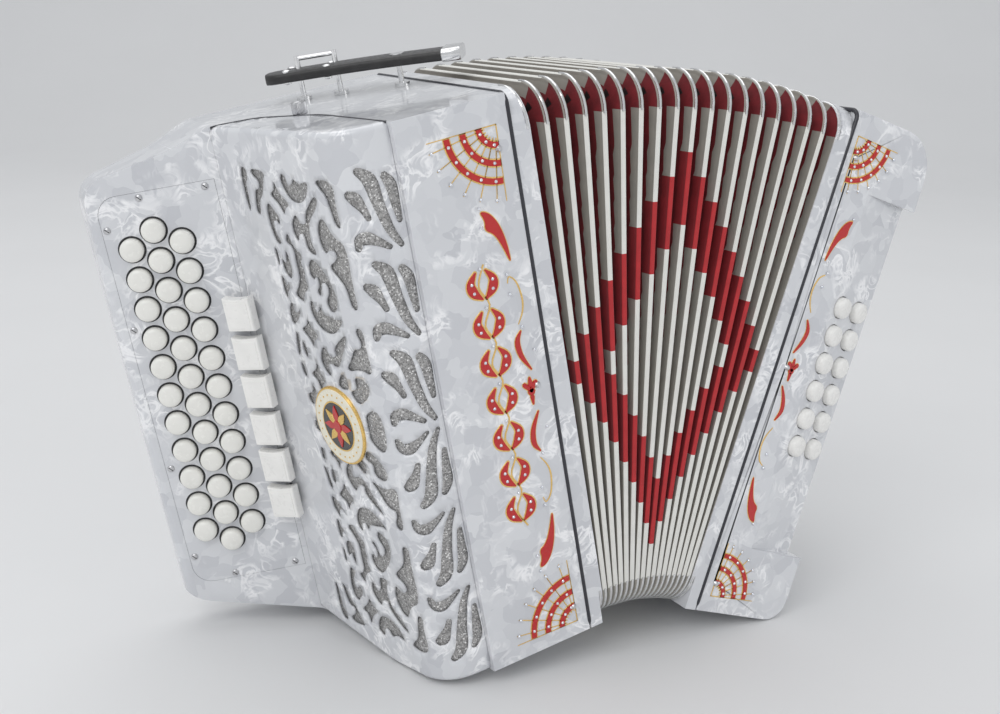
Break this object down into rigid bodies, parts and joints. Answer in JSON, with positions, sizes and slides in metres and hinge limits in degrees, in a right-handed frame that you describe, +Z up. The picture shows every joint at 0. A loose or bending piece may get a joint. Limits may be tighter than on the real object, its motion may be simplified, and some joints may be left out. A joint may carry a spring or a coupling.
{
  "type": "button accordion",
  "caption": "Fanned-open button accordion: pearloid housings with rows of push buttons, red and white folding bellows, rocking registers, bellows strap and hand strap.",
  "frame": {"origin": "on the floor, below the middle of the box around the whole part", "axes": "+X along the bellows towards the bass housing, +Y from the decorated front to the back, +Z up"},
  "size_m": [0.4616, 0.1754, 0.3395],
  "materials": {
    "pearl": "polished pearloid celluloid over wood",
    "panel": "polished pearloid panel",
    "glitter": "silver glitter cloth",
    "seal": "black sealing strip",
    "screws": "small domed screws",
    "pins": "polished pins",
    "thumbscrew": "knurled, polished",
    "strap": "thick black leather",
    "hand_leather": "padded black leather",
    "brackets": "polished wire and caps",
    "reed_wood": "plain fine-grained wood",
    "button_cap": "domed off-white caps",
    "lever_metal": "plain pressed metal",
    "register_cap": "scooped white keycaps",
    "bellows": "folded board covered with deep red cloth, white taped edges",
    "bass_cap": "domed off-white caps",
    "air_cap": "domed off-white cap"
  },
  "bodies": {
    "treble": {"treble_case": "pearl", "fingerboard_plate": "panel", "grille_cover": "pearl", "grille_cloth": "glitter", "treble_frame": "pearl", "treble_gasket": "seal", "panel_screws": "screws", "treble_frame_pins": "pins", "grille_thumbscrew": "thumbscrew", "bellows_strap": "strap", "strap_brackets": "brackets", "treble_reed_blocks": "reed_wood"},
    "buttons_inner": {"treble_buttons_inner": "button_cap"},
    "levers_inner": {"treble_levers_inner": "lever_metal"},
    "buttons_middle": {"treble_buttons_middle": "button_cap"},
    "levers_middle": {"treble_levers_middle": "lever_metal"},
    "buttons_outer": {"treble_buttons_outer": "button_cap"},
    "levers_outer": {"treble_levers_outer": "lever_metal"},
    "register_switch_1": {"register_switch_1": "register_cap"},
    "register_switch_2": {"register_switch_2": "register_cap"},
    "register_switch_3": {"register_switch_3": "register_cap"},
    "register_switch_4": {"register_switch_4": "register_cap"},
    "register_switch_5": {"register_switch_5": "register_cap"},
    "register_switch_6": {"register_switch_6": "register_cap"},
    "fold_01": {"fold_01": "bellows"},
    "fold_02": {"fold_02": "bellows"},
    "fold_03": {"fold_03": "bellows"},
    "fold_04": {"fold_04": "bellows"},
    "fold_05": {"fold_05": "bellows"},
    "fold_06": {"fold_06": "bellows"},
    "fold_07": {"fold_07": "bellows"},
    "fold_08": {"fold_08": "bellows"},
    "fold_09": {"fold_09": "bellows"},
    "fold_10": {"fold_10": "bellows"},
    "fold_11": {"fold_11": "bellows"},
    "fold_12": {"fold_12": "bellows"},
    "fold_13": {"fold_13": "bellows"},
    "fold_14": {"fold_14": "bellows"},
    "fold_15": {"fold_15": "bellows"},
    "fold_16": {"fold_16": "bellows"},
    "fold_17": {"fold_17": "bellows"},
    "bass": {"bass_case": "pearl", "bass_frame": "pearl", "bass_gasket": "seal", "bass_reed_block": "reed_wood", "hand_strap": "hand_leather", "bass_frame_pins": "pins"},
    "bass_button_01": {"bass_button_01": "bass_cap"},
    "bass_button_02": {"bass_button_02": "bass_cap"},
    "bass_button_03": {"bass_button_03": "bass_cap"},
    "bass_button_04": {"bass_button_04": "bass_cap"},
    "bass_button_05": {"bass_button_05": "bass_cap"},
    "bass_button_06": {"bass_button_06": "bass_cap"},
    "bass_button_07": {"bass_button_07": "bass_cap"},
    "bass_button_08": {"bass_button_08": "bass_cap"},
    "bass_button_09": {"bass_button_09": "bass_cap"},
    "bass_button_10": {"bass_button_10": "bass_cap"},
    "bass_button_11": {"bass_button_11": "bass_cap"},
    "bass_button_12": {"bass_button_12": "bass_cap"},
    "air_button": {"air_button": "air_cap"}
  },
  "joints": [
    {"name": "press_inner", "type": "slide", "parent": "treble", "child": "buttons_inner", "axis": [0.3897, 0.9171, 0.0843], "range_m": [0, 0.0032], "stiffness_N_per_m": 600, "springref_m": -0.002},
    {"name": "lift_inner", "type": "hinge", "parent": "treble", "child": "levers_inner", "pos_m": [-0.12675, 0.0451, 0.14541], "axis": [0.2113, 0, -0.9774], "range_deg": [0, 5.51]},
    {"name": "press_middle", "type": "slide", "parent": "treble", "child": "buttons_middle", "axis": [0.3897, 0.9171, 0.0843], "range_m": [0, 0.0032], "stiffness_N_per_m": 600, "springref_m": -0.002},
    {"name": "lift_middle", "type": "hinge", "parent": "treble", "child": "levers_middle", "pos_m": [-0.12089, 0.0541, 0.14668], "axis": [0.2113, 0, -0.9774], "range_deg": [0, 3.57]},
    {"name": "press_outer", "type": "slide", "parent": "treble", "child": "buttons_outer", "axis": [0.3897, 0.9171, 0.0843], "range_m": [0, 0.0032], "stiffness_N_per_m": 600, "springref_m": -0.002},
    {"name": "lift_outer", "type": "hinge", "parent": "treble", "child": "levers_outer", "pos_m": [-0.11502, 0.0631, 0.14795], "axis": [0.2113, 0, -0.9774], "range_deg": [0, 2.63]},
    {"name": "rock_register_1", "type": "hinge", "parent": "treble", "child": "register_switch_1", "pos_m": [-0.14631, 0.0329, 0.19684], "axis": [-0.2113, 0, 0.9774], "range_deg": [-6, 6]},
    {"name": "rock_register_2", "type": "hinge", "parent": "treble", "child": "register_switch_2", "pos_m": [-0.14149, 0.0329, 0.17455], "axis": [-0.2113, 0, 0.9774], "range_deg": [-6, 6]},
    {"name": "rock_register_3", "type": "hinge", "parent": "treble", "child": "register_switch_3", "pos_m": [-0.13667, 0.0329, 0.15227], "axis": [-0.2113, 0, 0.9774], "range_deg": [-6, 6]},
    {"name": "rock_register_4", "type": "hinge", "parent": "treble", "child": "register_switch_4", "pos_m": [-0.13185, 0.0329, 0.12998], "axis": [-0.2113, 0, 0.9774], "range_deg": [-6, 6]},
    {"name": "rock_register_5", "type": "hinge", "parent": "treble", "child": "register_switch_5", "pos_m": [-0.12704, 0.0329, 0.1077], "axis": [-0.2113, 0, 0.9774], "range_deg": [-6, 6]},
    {"name": "rock_register_6", "type": "hinge", "parent": "treble", "child": "register_switch_6", "pos_m": [-0.12222, 0.0329, 0.08542], "axis": [-0.2113, 0, 0.9774], "range_deg": [-6, 6]},
    {"name": "bellows_hinge_01", "type": "hinge", "parent": "treble", "child": "fold_01", "pos_m": [0.01789, -0.0059, 0.02322], "axis": [0, 1, 0], "range_deg": [-1.66, 1.5], "stiffness_Nm_per_rad": 200},
    {"name": "bellows_hinge_02", "type": "hinge", "parent": "fold_01", "child": "fold_02", "pos_m": [0.02094, -0.0059, 0.02379], "axis": [0, 1, 0], "range_deg": [-1.67, 1.5], "stiffness_Nm_per_rad": 200},
    {"name": "bellows_hinge_03", "type": "hinge", "parent": "fold_02", "child": "fold_03", "pos_m": [0.024, -0.0059, 0.02426], "axis": [0, 1, 0], "range_deg": [-1.67, 1.5], "stiffness_Nm_per_rad": 200},
    {"name": "bellows_hinge_04", "type": "hinge", "parent": "fold_03", "child": "fold_04", "pos_m": [0.02708, -0.0059, 0.02465], "axis": [0, 1, 0], "range_deg": [-1.67, 1.5], "stiffness_Nm_per_rad": 200},
    {"name": "bellows_hinge_05", "type": "hinge", "parent": "fold_04", "child": "fold_05", "pos_m": [0.03016, -0.0059, 0.02495], "axis": [0, 1, 0], "range_deg": [-1.67, 1.5], "stiffness_Nm_per_rad": 200},
    {"name": "bellows_hinge_06", "type": "hinge", "parent": "fold_05", "child": "fold_06", "pos_m": [0.03325, -0.0059, 0.02516], "axis": [0, 1, 0], "range_deg": [-1.67, 1.5], "stiffness_Nm_per_rad": 200},
    {"name": "bellows_hinge_07", "type": "hinge", "parent": "fold_06", "child": "fold_07", "pos_m": [0.03635, -0.0059, 0.02528], "axis": [0, 1, 0], "range_deg": [-1.67, 1.5], "stiffness_Nm_per_rad": 200},
    {"name": "bellows_hinge_08", "type": "hinge", "parent": "fold_07", "child": "fold_08", "pos_m": [0.03945, -0.0059, 0.02531], "axis": [0, 1, 0], "range_deg": [-1.67, 1.5], "stiffness_Nm_per_rad": 200},
    {"name": "bellows_hinge_09", "type": "hinge", "parent": "fold_08", "child": "fold_09", "pos_m": [0.04255, -0.0059, 0.02525], "axis": [0, 1, 0], "range_deg": [-1.67, 1.5], "stiffness_Nm_per_rad": 200},
    {"name": "bellows_hinge_10", "type": "hinge", "parent": "fold_09", "child": "fold_10", "pos_m": [0.04565, -0.0059, 0.02509], "axis": [0, 1, 0], "range_deg": [-1.67, 1.5], "stiffness_Nm_per_rad": 200},
    {"name": "bellows_hinge_11", "type": "hinge", "parent": "fold_10", "child": "fold_11", "pos_m": [0.04874, -0.0059, 0.02485], "axis": [0, 1, 0], "range_deg": [-1.67, 1.5], "stiffness_Nm_per_rad": 200},
    {"name": "bellows_hinge_12", "type": "hinge", "parent": "fold_11", "child": "fold_12", "pos_m": [0.05182, -0.0059, 0.02452], "axis": [0, 1, 0], "range_deg": [-1.67, 1.5], "stiffness_Nm_per_rad": 200},
    {"name": "bellows_hinge_13", "type": "hinge", "parent": "fold_12", "child": "fold_13", "pos_m": [0.05489, -0.0059, 0.0241], "axis": [0, 1, 0], "range_deg": [-1.67, 1.5], "stiffness_Nm_per_rad": 200},
    {"name": "bellows_hinge_14", "type": "hinge", "parent": "fold_13", "child": "fold_14", "pos_m": [0.05795, -0.0059, 0.02359], "axis": [0, 1, 0], "range_deg": [-1.67, 1.5], "stiffness_Nm_per_rad": 200},
    {"name": "bellows_hinge_15", "type": "hinge", "parent": "fold_14", "child": "fold_15", "pos_m": [0.06099, -0.0059, 0.02299], "axis": [0, 1, 0], "range_deg": [-1.67, 1.5], "stiffness_Nm_per_rad": 200},
    {"name": "bellows_hinge_16", "type": "hinge", "parent": "fold_15", "child": "fold_16", "pos_m": [0.06402, -0.0059, 0.02231], "axis": [0, 1, 0], "range_deg": [-1.67, 1.5], "stiffness_Nm_per_rad": 200},
    {"name": "bellows_hinge_17", "type": "hinge", "parent": "fold_16", "child": "fold_17", "pos_m": [0.06702, -0.0059, 0.02153], "axis": [0, 1, 0], "range_deg": [-1.67, 1.5], "stiffness_Nm_per_rad": 200},
    {"name": "bellows_hinge_18", "type": "hinge", "parent": "fold_17", "child": "bass", "pos_m": [0.06999, -0.0059, 0.02067], "axis": [0, 1, 0], "range_deg": [-1.67, 1.5], "stiffness_Nm_per_rad": 200},
    {"name": "press_bass_01", "type": "slide", "parent": "bass", "child": "bass_button_01", "axis": [-0.198, 0.9781, 0.0636], "range_m": [0, 0.003], "stiffness_N_per_m": 400, "springref_m": -0.002},
    {"name": "press_bass_02", "type": "slide", "parent": "bass", "child": "bass_button_02", "axis": [-0.198, 0.9781, 0.0636], "range_m": [0, 0.003], "stiffness_N_per_m": 400, "springref_m": -0.002},
    {"name": "press_bass_03", "type": "slide", "parent": "bass", "child": "bass_button_03", "axis": [-0.198, 0.9781, 0.0636], "range_m": [0, 0.003], "stiffness_N_per_m": 400, "springref_m": -0.002},
    {"name": "press_bass_04", "type": "slide", "parent": "bass", "child": "bass_button_04", "axis": [-0.198, 0.9781, 0.0636], "range_m": [0, 0.003], "stiffness_N_per_m": 400, "springref_m": -0.002},
    {"name": "press_bass_05", "type": "slide", "parent": "bass", "child": "bass_button_05", "axis": [-0.198, 0.9781, 0.0636], "range_m": [0, 0.003], "stiffness_N_per_m": 400, "springref_m": -0.002},
    {"name": "press_bass_06", "type": "slide", "parent": "bass", "child": "bass_button_06", "axis": [-0.198, 0.9781, 0.0636], "range_m": [0, 0.003], "stiffness_N_per_m": 400, "springref_m": -0.002},
    {"name": "press_bass_07", "type": "slide", "parent": "bass", "child": "bass_button_07", "axis": [-0.198, 0.9781, 0.0636], "range_m": [0, 0.003], "stiffness_N_per_m": 400, "springref_m": -0.002},
    {"name": "press_bass_08", "type": "slide", "parent": "bass", "child": "bass_button_08", "axis": [-0.198, 0.9781, 0.0636], "range_m": [0, 0.003], "stiffness_N_per_m": 400, "springref_m": -0.002},
    {"name": "press_bass_09", "type": "slide", "parent": "bass", "child": "bass_button_09", "axis": [-0.198, 0.9781, 0.0636], "range_m": [0, 0.003], "stiffness_N_per_m": 400, "springref_m": -0.002},
    {"name": "press_bass_10", "type": "slide", "parent": "bass", "child": "bass_button_10", "axis": [-0.198, 0.9781, 0.0636], "range_m": [0, 0.003], "stiffness_N_per_m": 400, "springref_m": -0.002},
    {"name": "press_bass_11", "type": "slide", "parent": "bass", "child": "bass_button_11", "axis": [-0.198, 0.9781, 0.0636], "range_m": [0, 0.003], "stiffness_N_per_m": 400, "springref_m": -0.002},
    {"name": "press_bass_12", "type": "slide", "parent": "bass", "child": "bass_button_12", "axis": [-0.198, 0.9781, 0.0636], "range_m": [0, 0.003], "stiffness_N_per_m": 400, "springref_m": -0.002},
    {"name": "press_air", "type": "slide", "parent": "bass", "child": "air_button", "axis": [-0.9521, 0, 0.3057], "range_m": [0, 0.004], "stiffness_N_per_m": 400, "springref_m": -0.002}
  ],
  "couplings": [
    {"joint": "lift_inner", "follows": "press_inner", "rad_per_m": 29.729},
    {"joint": "lift_middle", "follows": "press_middle", "rad_per_m": 19.3},
    {"joint": "lift_outer", "follows": "press_outer", "rad_per_m": 14.219},
    {"joint": "bellows_hinge_02", "follows": "bellows_hinge_01", "ratio": 1},
    {"joint": "bellows_hinge_03", "follows": "bellows_hinge_01", "ratio": 1},
    {"joint": "bellows_hinge_04", "follows": "bellows_hinge_01", "ratio": 1},
    {"joint": "bellows_hinge_05", "follows": "bellows_hinge_01", "ratio": 1},
    {"joint": "bellows_hinge_06", "follows": "bellows_hinge_01", "ratio": 1},
    {"joint": "bellows_hinge_07", "follows": "bellows_hinge_01", "ratio": 1},
    {"joint": "bellows_hinge_08", "follows": "bellows_hinge_01", "ratio": 1},
    {"joint": "bellows_hinge_09", "follows": "bellows_hinge_01", "ratio": 1},
    {"joint": "bellows_hinge_10", "follows": "bellows_hinge_01", "ratio": 1},
    {"joint": "bellows_hinge_11", "follows": "bellows_hinge_01", "ratio": 1},
    {"joint": "bellows_hinge_12", "follows": "bellows_hinge_01", "ratio": 1},
    {"joint": "bellows_hinge_13", "follows": "bellows_hinge_01", "ratio": 1},
    {"joint": "bellows_hinge_14", "follows": "bellows_hinge_01", "ratio": 1},
    {"joint": "bellows_hinge_15", "follows": "bellows_hinge_01", "ratio": 1},
    {"joint": "bellows_hinge_16", "follows": "bellows_hinge_01", "ratio": 1},
    {"joint": "bellows_hinge_17", "follows": "bellows_hinge_01", "ratio": 1},
    {"joint": "bellows_hinge_18", "follows": "bellows_hinge_01", "ratio": 1}
  ]
}
